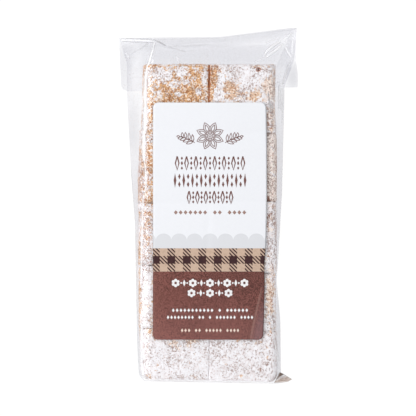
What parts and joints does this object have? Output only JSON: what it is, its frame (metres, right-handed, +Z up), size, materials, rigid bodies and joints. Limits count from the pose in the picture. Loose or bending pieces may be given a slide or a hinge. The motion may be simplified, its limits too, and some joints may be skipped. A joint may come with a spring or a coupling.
{
  "type": "clear bag of marshmallows",
  "caption": "Flat clear film bag of cinnamon sugar marshmallows laid in two columns, with a paper label on its front and its top folded behind it.",
  "frame": {"origin": "on the surface that the bag lies on, below the middle of its bounding box", "axes": "+X across the bag to the right of the label, +Y along it towards the folded top, +Z up through the label"},
  "size_m": [0.0896, 0.1792, 0.0224],
  "materials": {
    "film": "clear, glossy, over what it holds",
    "marshmallow": "matte, dusted with sugar and cinnamon",
    "crumbs": "matte grains",
    "label_paper": "smooth, slightly glossy",
    "print": "printed ink"
  },
  "bodies": {
    "root": {"bag": "film", "label": "label_paper"}
  },
  "joints": []
}
